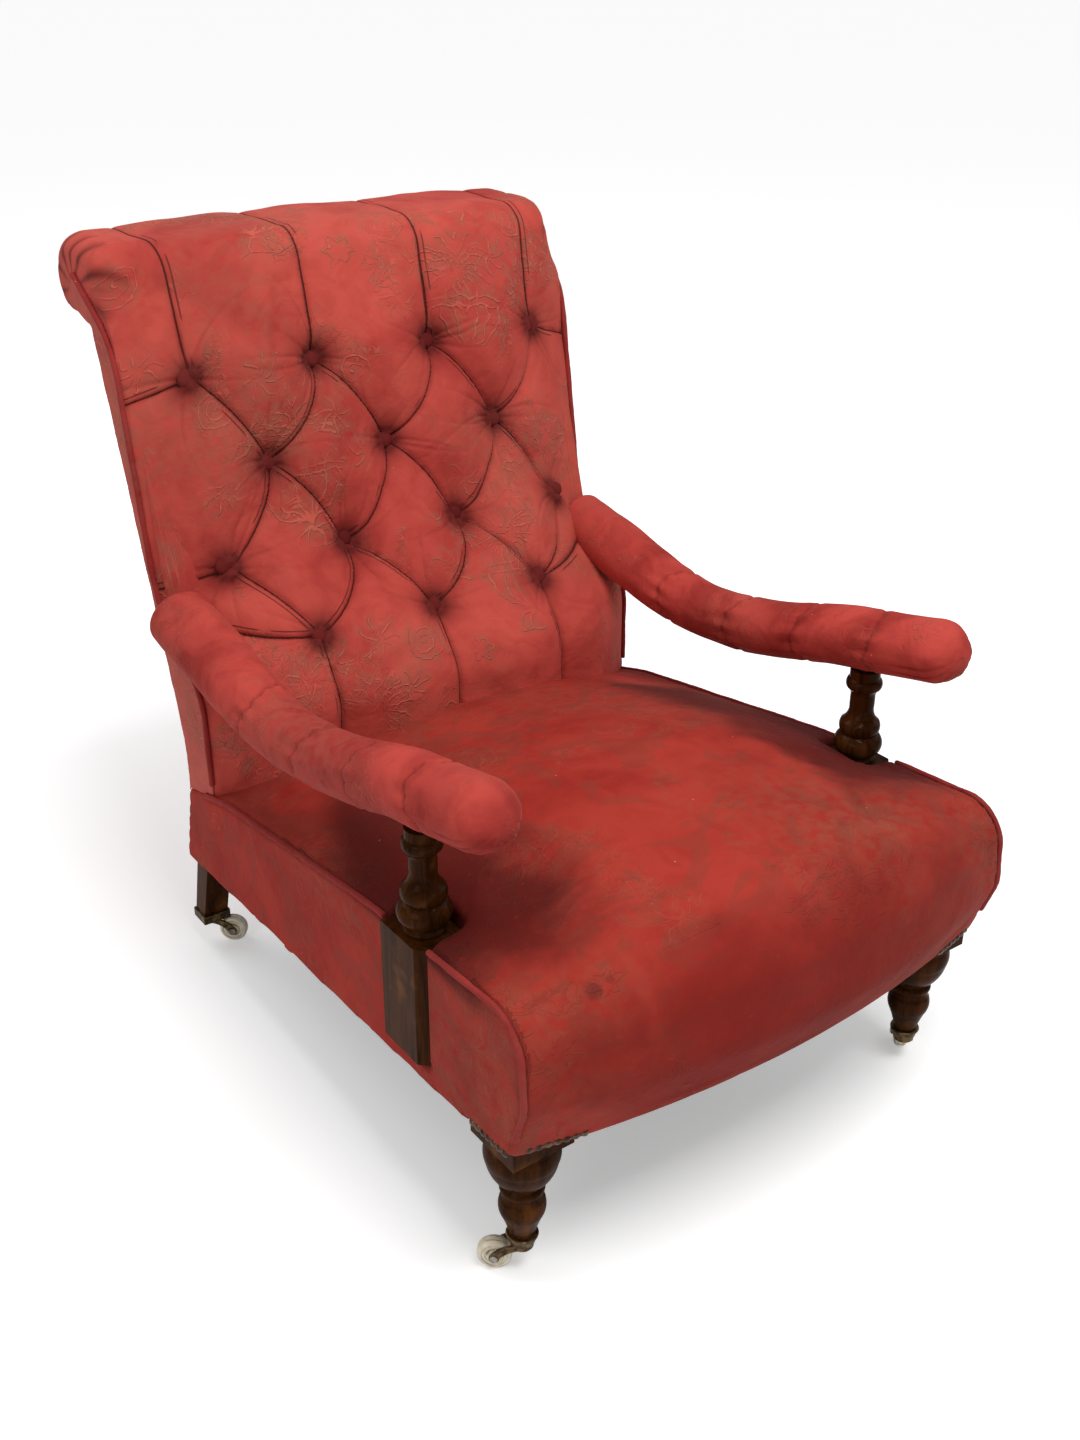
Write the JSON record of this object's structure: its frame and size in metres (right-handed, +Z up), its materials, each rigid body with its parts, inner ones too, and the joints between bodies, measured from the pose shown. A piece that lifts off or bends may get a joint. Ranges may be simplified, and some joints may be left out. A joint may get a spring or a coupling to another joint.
{
  "type": "library chair",
  "caption": "Low, deep library chair with a buttoned scroll back, padded open arms on turned supports, turned front legs and castors.",
  "frame": {"origin": "on the floor under the middle of the chair's bounding box", "axes": "+X runs across the chair to the right of a viewer who faces its front, the front faces -Y, +Z is up"},
  "size_m": [0.6518, 1.0089, 0.874],
  "materials": {
    "velvet": "faded figured cotton velvet",
    "velvet_trim": "faded cotton velvet",
    "polished_walnut": "French polished, dark",
    "beech_frame": "plain, unpolished",
    "aged_brass": "dark aged brass",
    "steel_axle": "worn steel",
    "ceramic": "glazed cream ceramic with brown swirls",
    "bronze_nails": "dark bronzed, domed",
    "jute_webbing": "jute",
    "hessian": "hessian",
    "black_cloth": "plain black linen",
    "spring_wire": "coppered steel wire"
  },
  "bodies": {
    "chair": {"back_buttons": "velvet_trim", "back_crest_rail": "beech_frame", "back_cushion": "velvet", "back_tacking_rail": "beech_frame", "back_webbing": "jute_webbing", "bottom_cloth": "black_cloth", "front_left_castor_cup": "aged_brass", "front_right_castor_cup": "aged_brass", "front_seat_rail": "beech_frame", "left_arm_pad": "velvet", "left_arm_rail": "beech_frame", "left_arm_support": "polished_walnut", "left_back_facing": "velvet_trim", "left_back_piping": "velvet_trim", "left_back_post": "polished_walnut", "left_corner_nails": "bronze_nails", "left_front_leg": "polished_walnut", "left_seat_piping": "velvet_trim", "left_side_rail": "beech_frame", "outside_back_panel": "velvet_trim", "rear_left_castor_cup": "aged_brass", "rear_right_castor_cup": "aged_brass", "rear_seat_rail": "beech_frame", "right_arm_pad": "velvet", "right_arm_rail": "beech_frame", "right_arm_support": "polished_walnut", "right_back_facing": "velvet_trim", "right_back_piping": "velvet_trim", "right_back_post": "polished_walnut", "right_corner_nails": "bronze_nails", "right_front_leg": "polished_walnut", "right_seat_piping": "velvet_trim", "right_side_rail": "beech_frame", "seat_cushion": "velvet", "seat_glue_blocks": "beech_frame", "seat_springs": "spring_wire", "seat_webbing": "jute_webbing", "spring_cover": "hessian"},
    "front_left_castor": {"front_left_castor_horn": "aged_brass", "front_left_castor_axle": "steel_axle"},
    "front_left_wheel": {"front_left_castor_wheel": "ceramic"},
    "front_right_castor": {"front_right_castor_horn": "aged_brass", "front_right_castor_axle": "steel_axle"},
    "front_right_wheel": {"front_right_castor_wheel": "ceramic"},
    "rear_left_castor": {"rear_left_castor_horn": "aged_brass", "rear_left_castor_axle": "steel_axle"},
    "rear_left_wheel": {"rear_left_castor_wheel": "ceramic"},
    "rear_right_castor": {"rear_right_castor_horn": "aged_brass", "rear_right_castor_axle": "steel_axle"},
    "rear_right_wheel": {"rear_right_castor_wheel": "ceramic"}
  },
  "joints": [
    {"name": "front_left_swivel", "type": "hinge", "parent": "chair", "child": "front_left_castor", "pos_m": [-0.272, -0.39, 0.03], "axis": [0, 0, 1], "continuous": true},
    {"name": "front_left_roll", "type": "hinge", "parent": "front_left_castor", "child": "front_left_wheel", "pos_m": [-0.29268, -0.37265, 0.0175], "axis": [-0.6428, -0.766, 0], "continuous": true},
    {"name": "front_right_swivel", "type": "hinge", "parent": "chair", "child": "front_right_castor", "pos_m": [0.272, -0.39, 0.03], "axis": [0, 0, 1], "continuous": true},
    {"name": "front_right_roll", "type": "hinge", "parent": "front_right_castor", "child": "front_right_wheel", "pos_m": [0.29109, -0.37091, 0.0175], "axis": [-0.7071, 0.7071, 0], "continuous": true},
    {"name": "rear_left_swivel", "type": "hinge", "parent": "chair", "child": "rear_left_castor", "pos_m": [-0.278, 0.29567, 0.03], "axis": [0, 0, 1], "continuous": true},
    {"name": "rear_left_roll", "type": "hinge", "parent": "rear_left_castor", "child": "rear_left_wheel", "pos_m": [-0.25672, 0.27904, 0.0175], "axis": [0.6157, 0.788, 0], "continuous": true},
    {"name": "rear_right_swivel", "type": "hinge", "parent": "chair", "child": "rear_right_castor", "pos_m": [0.278, 0.29567, 0.03], "axis": [0, 0, 1], "continuous": true},
    {"name": "rear_right_roll", "type": "hinge", "parent": "rear_right_castor", "child": "rear_right_wheel", "pos_m": [0.2645, 0.27228, 0.0175], "axis": [0.866, -0.5, 0], "continuous": true}
  ]
}
